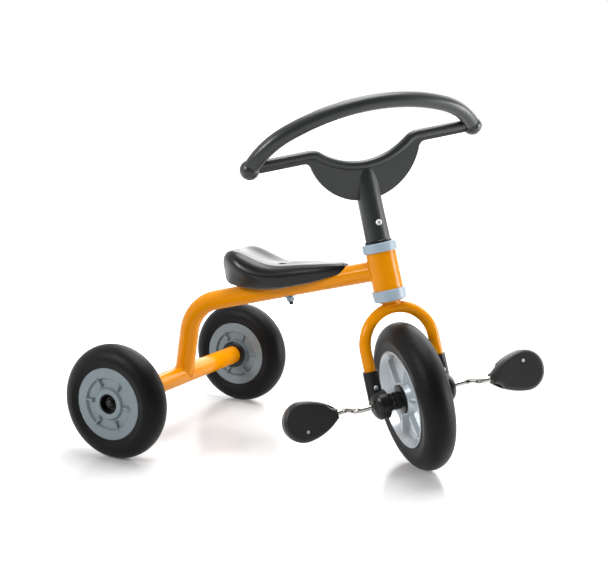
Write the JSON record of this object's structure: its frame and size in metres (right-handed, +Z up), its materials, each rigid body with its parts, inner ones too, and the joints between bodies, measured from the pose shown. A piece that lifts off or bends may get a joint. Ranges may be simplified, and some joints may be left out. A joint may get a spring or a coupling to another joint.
{
  "type": "tricycle",
  "caption": "Small pedal tricycle: bent tube frame, moulded saddle, loop handlebar, front wheel driven by direct cranks, two rear wheels.",
  "frame": {"origin": "on the ground under the middle of the bounding box, with the steering turned as it stands at rest", "axes": "+Z up, +X to the front along the frame's middle plane, +Y to the rider's left, so the rear axle lies along Y"},
  "size_m": [0.756, 0.468, 0.6296],
  "materials": {
    "frame_paint": "gloss",
    "solid_tyre": "satin",
    "hub_plastic": "satin",
    "cup_plastic": "satin",
    "black_plastic": "satin",
    "handlebar_plastic": "satin",
    "chrome_rod": "polished",
    "zinc_steel": "satin",
    "nylon_bush": "satin"
  },
  "bodies": {
    "frame": {"main_tube": "frame_paint", "head_tube": "frame_paint", "rear_axle_tube": "frame_paint", "axle_end_bush_left": "nylon_bush", "axle_end_bush_right": "nylon_bush", "rear_axle_shaft": "zinc_steel", "rear_axle_washers": "zinc_steel", "rear_axle_nuts": "zinc_steel", "head_cup_upper": "cup_plastic", "head_cup_lower": "cup_plastic", "saddle": "black_plastic", "saddle_bolt": "zinc_steel", "saddle_washer": "zinc_steel", "saddle_nut": "zinc_steel"},
    "steering": {"steerer_tube": "frame_paint", "fork_tube": "frame_paint", "crown_race": "frame_paint", "steering_collar": "black_plastic", "handlebar_yoke": "handlebar_plastic", "handlebar_arch": "handlebar_plastic", "handlebar_screw": "zinc_steel", "handlebar_nut": "zinc_steel", "dropout_front_left": "handlebar_plastic", "dropout_front_right": "handlebar_plastic", "dropout_rear_left": "handlebar_plastic", "dropout_rear_right": "handlebar_plastic", "dropout_screws": "zinc_steel", "crank_bush_left": "nylon_bush", "crank_bush_right": "nylon_bush"},
    "front_wheel": {"front_tyre": "solid_tyre", "front_hub_left": "hub_plastic", "front_hub_right": "hub_plastic", "hub_flange_left": "black_plastic", "hub_flange_right": "black_plastic", "crank_washers": "zinc_steel", "crank_rod": "chrome_rod"},
    "pedal_left": {"pedal_front_left": "black_plastic", "pedal_rear_left": "black_plastic", "pedal_screw_left": "zinc_steel"},
    "rear_wheel_left": {"rear_tyre_left": "solid_tyre", "rear_hub_outer_left": "hub_plastic", "rear_hub_inner_left": "hub_plastic", "rear_hub_bush_left": "nylon_bush"},
    "pedal_right": {"pedal_front_right": "black_plastic", "pedal_rear_right": "black_plastic", "pedal_screw_right": "zinc_steel"},
    "rear_wheel_right": {"rear_tyre_right": "solid_tyre", "rear_hub_outer_right": "hub_plastic", "rear_hub_inner_right": "hub_plastic", "rear_hub_bush_right": "nylon_bush"}
  },
  "joints": [
    {"name": "steering_turn", "type": "hinge", "parent": "frame", "child": "steering", "pos_m": [0.1269, 0, 0.32917], "axis": [-0.2504, 0, 0.9681], "range_deg": [-15, 105]},
    {"name": "front_wheel_spin", "type": "hinge", "parent": "steering", "child": "front_wheel", "pos_m": [0.1869, -0.00707, 0.1254], "axis": [0.6846, 0.7071, 0.177], "continuous": true},
    {"name": "pedal_left_spin", "type": "hinge", "parent": "front_wheel", "child": "pedal_left", "pos_m": [0.30369, 0.04393, 0.15921], "axis": [0.6846, 0.7071, 0.177], "continuous": true},
    {"name": "pedal_right_spin", "type": "hinge", "parent": "front_wheel", "child": "pedal_right", "pos_m": [0.07011, -0.05807, 0.0916], "axis": [0.6846, 0.7071, 0.177], "continuous": true},
    {"name": "rear_wheel_left_spin", "type": "hinge", "parent": "frame", "child": "rear_wheel_left", "pos_m": [-0.27797, 0.208, 0.1], "axis": [0, 1, 0], "continuous": true},
    {"name": "rear_wheel_right_spin", "type": "hinge", "parent": "frame", "child": "rear_wheel_right", "pos_m": [-0.27797, -0.208, 0.1], "axis": [0, 1, 0], "continuous": true}
  ]
}
